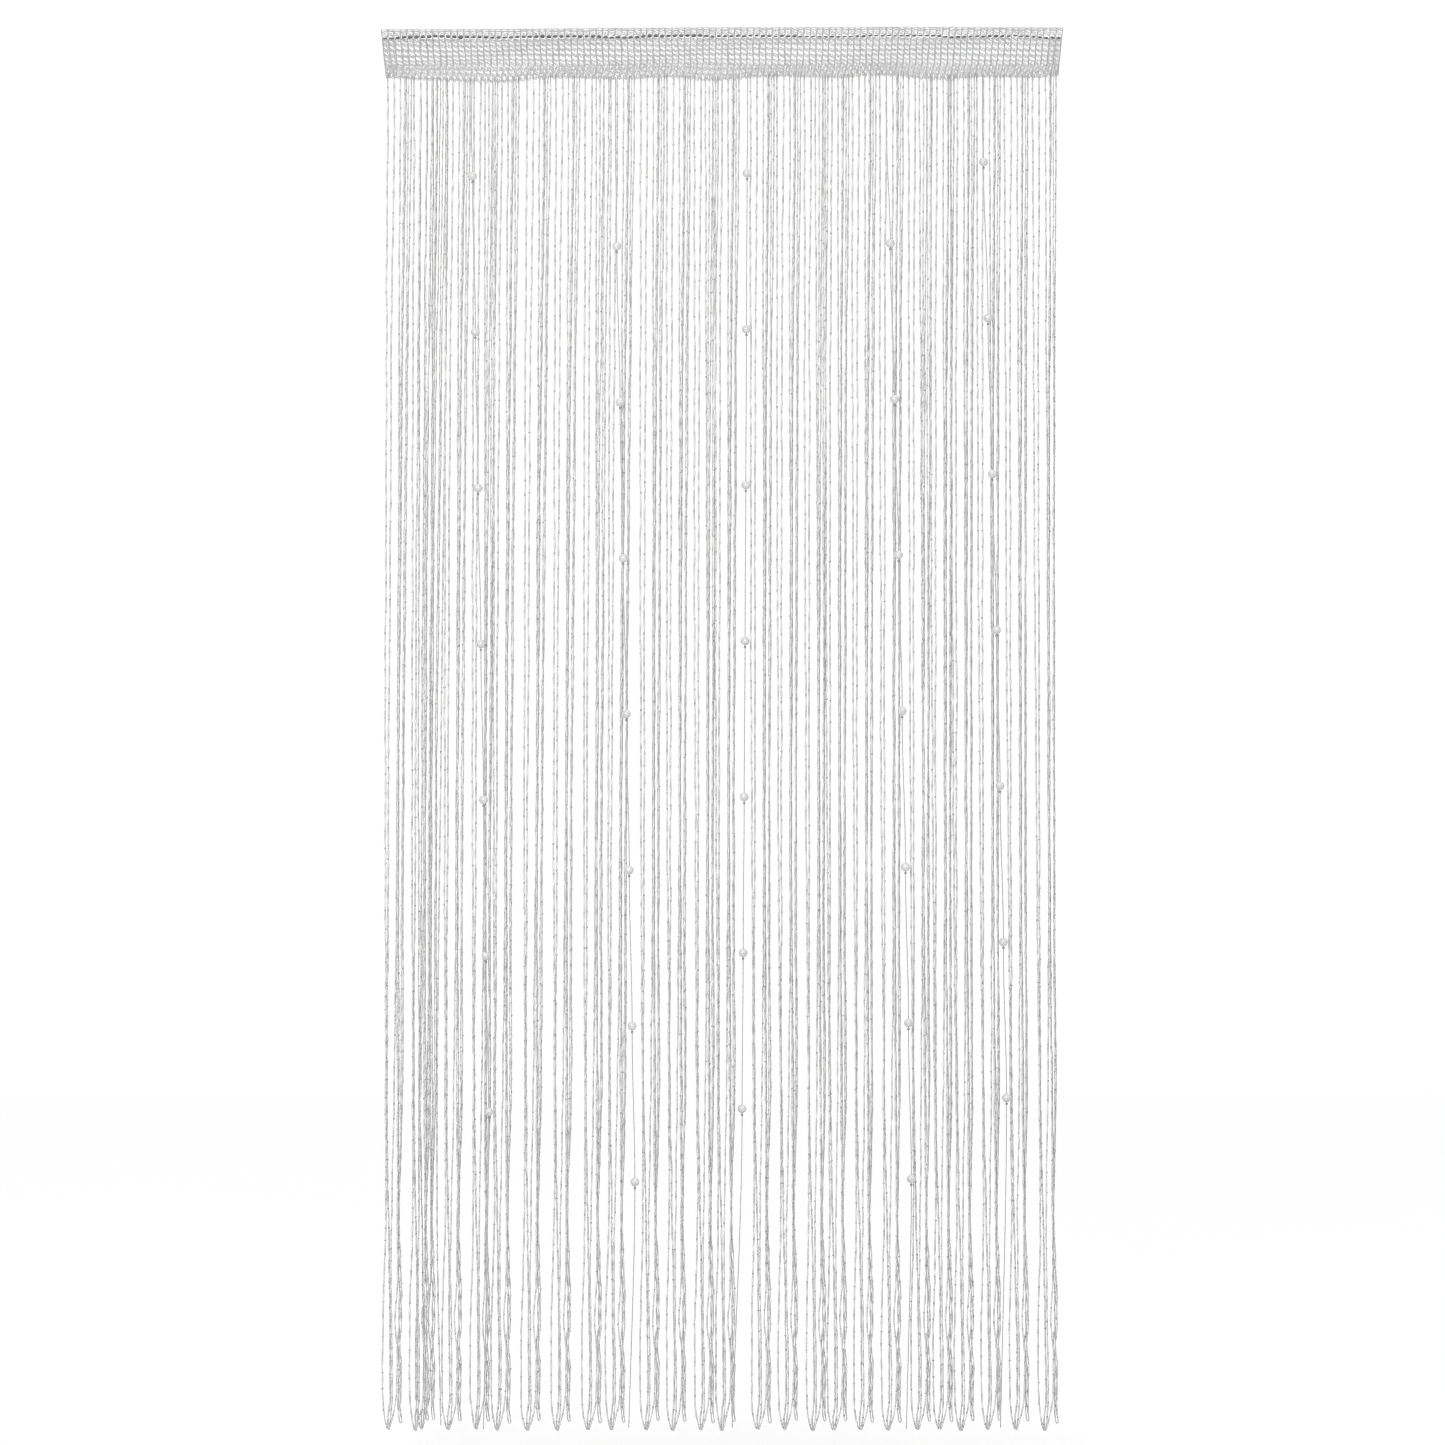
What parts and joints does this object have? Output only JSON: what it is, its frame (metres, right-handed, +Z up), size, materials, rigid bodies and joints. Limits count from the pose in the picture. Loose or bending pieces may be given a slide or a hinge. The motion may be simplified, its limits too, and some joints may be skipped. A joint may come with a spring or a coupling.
{
  "type": "bead curtain",
  "caption": "Hanging curtain of separate nubby strings in groups, some threaded with spaced pearls, under a knitted net heading with a rod pocket.",
  "frame": {"origin": "middle of the heading's top edge", "axes": "+Z up, the curtain hangs down from the origin; the front faces -Y; +X is to the right as the front is looked at"},
  "size_m": [0.971, 0.0307, 1.9987],
  "materials": {
    "net": "knitted polyester net, matte with a faint sheen",
    "yarn": "nubby bouclé yarn, matte",
    "pearl": "pearlised, glossy"
  },
  "bodies": {
    "root": {"heading": "net", "string_fringe": "yarn", "pearl_1_1": "pearl", "pearl_1_2": "pearl", "pearl_1_3": "pearl", "pearl_1_4": "pearl", "pearl_1_5": "pearl", "pearl_1_6": "pearl", "pearl_1_7": "pearl", "pearl_2_1": "pearl", "pearl_2_2": "pearl", "pearl_2_3": "pearl", "pearl_2_4": "pearl", "pearl_2_5": "pearl", "pearl_2_6": "pearl", "pearl_2_7": "pearl", "pearl_3_1": "pearl", "pearl_3_2": "pearl", "pearl_3_3": "pearl", "pearl_3_4": "pearl", "pearl_3_5": "pearl", "pearl_3_6": "pearl", "pearl_3_7": "pearl", "pearl_4_1": "pearl", "pearl_4_2": "pearl", "pearl_4_3": "pearl", "pearl_4_4": "pearl", "pearl_4_5": "pearl", "pearl_4_6": "pearl", "pearl_4_7": "pearl", "pearl_5_1": "pearl", "pearl_5_2": "pearl", "pearl_5_3": "pearl", "pearl_5_4": "pearl", "pearl_5_5": "pearl", "pearl_5_6": "pearl", "pearl_5_7": "pearl"}
  },
  "joints": []
}
